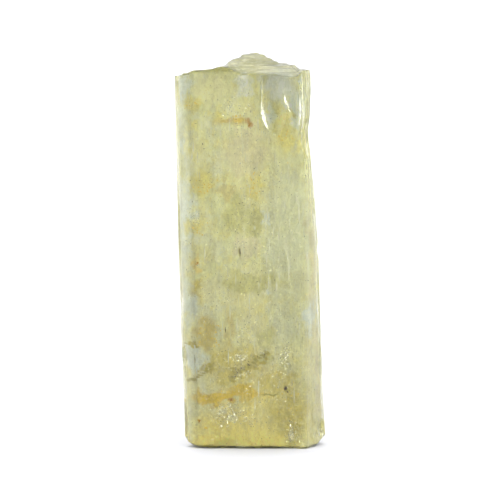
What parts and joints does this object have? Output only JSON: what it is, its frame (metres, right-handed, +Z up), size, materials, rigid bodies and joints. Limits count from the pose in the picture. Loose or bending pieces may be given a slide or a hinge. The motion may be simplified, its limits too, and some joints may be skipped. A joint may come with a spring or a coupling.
{
  "type": "heliodor crystal",
  "caption": "Six-sided prism of pale golden beryl, clear and striated, with a broken stepped top, standing on its broken root.",
  "frame": {"origin": "on the resting surface, under the middle of the bounding box", "axes": "+Z up along the prism, +X to the right along the broad front face, +Y away from that face"},
  "size_m": [0.0154, 0.0108, 0.0399],
  "materials": {
    "golden_beryl": "clear, striated and faintly cloudy"
  },
  "bodies": {
    "root": {"heliodor_crystal": "golden_beryl"}
  },
  "joints": []
}
